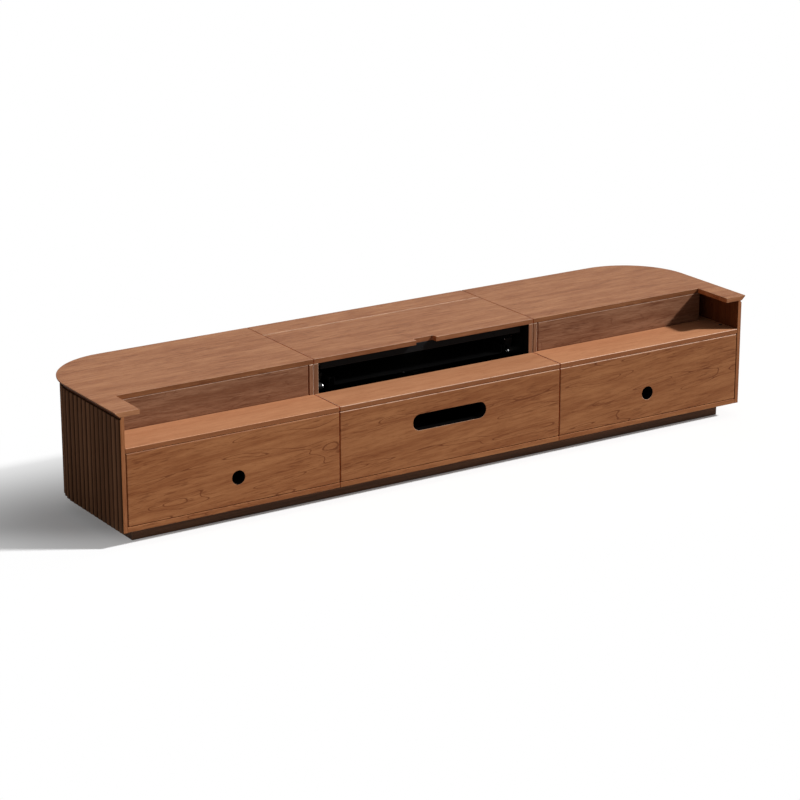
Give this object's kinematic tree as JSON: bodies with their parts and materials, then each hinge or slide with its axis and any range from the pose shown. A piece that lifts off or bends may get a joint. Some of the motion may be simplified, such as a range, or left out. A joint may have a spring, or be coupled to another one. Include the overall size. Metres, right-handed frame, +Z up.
{
  "type": "motorized tv cabinet",
  "caption": "Low walnut TV cabinet with round reeded ends, open niches, drawers with finger holes, and a lid that lifts over a bay with a sliding projector tray.",
  "frame": {"origin": "on the floor, under the middle of the cabinet", "axes": "+X along the cabinet to the right seen from the front, the front faces -Y, +Z up"},
  "size_m": [2.4, 0.58, 0.43],
  "materials": {
    "walnut_top": "satin",
    "walnut_front": "satin",
    "walnut_inside": "satin",
    "dark_walnut": "satin",
    "black_board": "matte",
    "birch_ply": "satin",
    "black_steel": "satin",
    "zinc_steel": "satin",
    "bright_steel": "polished",
    "black_plastic": "matte"
  },
  "bodies": {
    "carcass": {"left_top_board": "walnut_top", "left_deck": "walnut_top", "left_bottom_board": "walnut_front", "left_end_panel": "walnut_front", "left_reeded_skin": "dark_walnut", "left_partition": "walnut_inside", "left_niche_back": "walnut_front", "left_inner_side": "walnut_inside", "left_back_panel": "black_board", "left_lid_bracket": "black_steel", "right_top_board": "walnut_top", "right_deck": "walnut_top", "right_bottom_board": "walnut_front", "right_end_panel": "walnut_front", "right_reeded_skin": "dark_walnut", "right_partition": "walnut_inside", "right_niche_back": "walnut_front", "right_inner_side": "walnut_inside", "right_back_panel": "black_board", "right_lid_bracket": "black_steel", "rear_top_strip": "walnut_top", "centre_deck": "walnut_top", "centre_bottom_board": "walnut_front", "centre_left_side": "walnut_inside", "centre_right_side": "walnut_inside", "bay_floor": "black_board", "centre_back_panel": "black_board", "plinth_frame": "dark_walnut", "hinge_fixed_leaf": "zinc_steel", "hinge_pin": "zinc_steel", "control_unit": "black_plastic", "tray_left_runner": "black_steel", "tray_right_runner": "black_steel", "tray_actuator_body": "black_plastic", "left_drawer_left_runner": "zinc_steel", "left_drawer_right_runner": "zinc_steel", "centre_drawer_left_runner": "zinc_steel", "centre_drawer_right_runner": "zinc_steel", "right_drawer_left_runner": "zinc_steel", "right_drawer_right_runner": "zinc_steel"},
    "left_drawer": {"left_drawer_front": "walnut_front", "left_drawer_box": "birch_ply", "left_drawer_bottom": "birch_ply"},
    "centre_drawer": {"centre_drawer_front": "walnut_front", "centre_drawer_box": "birch_ply", "centre_drawer_bottom": "birch_ply"},
    "right_drawer": {"right_drawer_front": "walnut_front", "right_drawer_box": "birch_ply", "right_drawer_bottom": "birch_ply"},
    "tray": {"tray_pan": "black_steel", "tray_actuator_rod": "bright_steel"},
    "lid": {"lid_board": "walnut_top", "lid_stiffener": "black_board", "hinge_lid_leaf": "zinc_steel", "left_lid_lug": "zinc_steel", "right_lid_lug": "zinc_steel"},
    "left_actuator": {"left_lid_actuator_body": "black_plastic"},
    "left_rod": {"left_lid_actuator_rod": "bright_steel"},
    "right_actuator": {"right_lid_actuator_body": "black_plastic"},
    "right_rod": {"right_lid_actuator_rod": "bright_steel"}
  },
  "joints": [
    {"name": "left_drawer_slide", "type": "slide", "parent": "carcass", "child": "left_drawer", "axis": [0, -1, 0], "range_m": [0, 0.28]},
    {"name": "centre_drawer_slide", "type": "slide", "parent": "carcass", "child": "centre_drawer", "axis": [0, -1, 0], "range_m": [0, 0.28]},
    {"name": "right_drawer_slide", "type": "slide", "parent": "carcass", "child": "right_drawer", "axis": [0, -1, 0], "range_m": [0, 0.28]},
    {"name": "tray_slide", "type": "slide", "parent": "carcass", "child": "tray", "axis": [0, -1, 0], "range_m": [0, 0.12]},
    {"name": "lid_hinge", "type": "hinge", "parent": "carcass", "child": "lid", "pos_m": [0, 0.1831, 0.427], "axis": [-1, 0, 0], "range_deg": [0, 60]},
    {"name": "left_actuator_tilt", "type": "hinge", "parent": "carcass", "child": "left_actuator", "pos_m": [-0.37, -0.077, 0.316], "axis": [1, 0, 0], "range_deg": [0, 10.5]},
    {"name": "left_rod_slide", "type": "slide", "parent": "left_actuator", "child": "left_rod", "axis": [0, 0.9369, 0.3496], "range_m": [0, 0.0145]},
    {"name": "right_actuator_tilt", "type": "hinge", "parent": "carcass", "child": "right_actuator", "pos_m": [0.37, -0.077, 0.316], "axis": [1, 0, 0], "range_deg": [0, 10.5]},
    {"name": "right_rod_slide", "type": "slide", "parent": "right_actuator", "child": "right_rod", "axis": [0, 0.9369, 0.3496], "range_m": [0, 0.0145]}
  ],
  "couplings": [
    {"joint": "left_actuator_tilt", "follows": "lid_hinge", "ratio": 0.168},
    {"joint": "left_rod_slide", "follows": "lid_hinge", "m_per_rad": 0.0132},
    {"joint": "right_actuator_tilt", "follows": "lid_hinge", "ratio": 0.168},
    {"joint": "right_rod_slide", "follows": "lid_hinge", "m_per_rad": 0.0132}
  ]
}
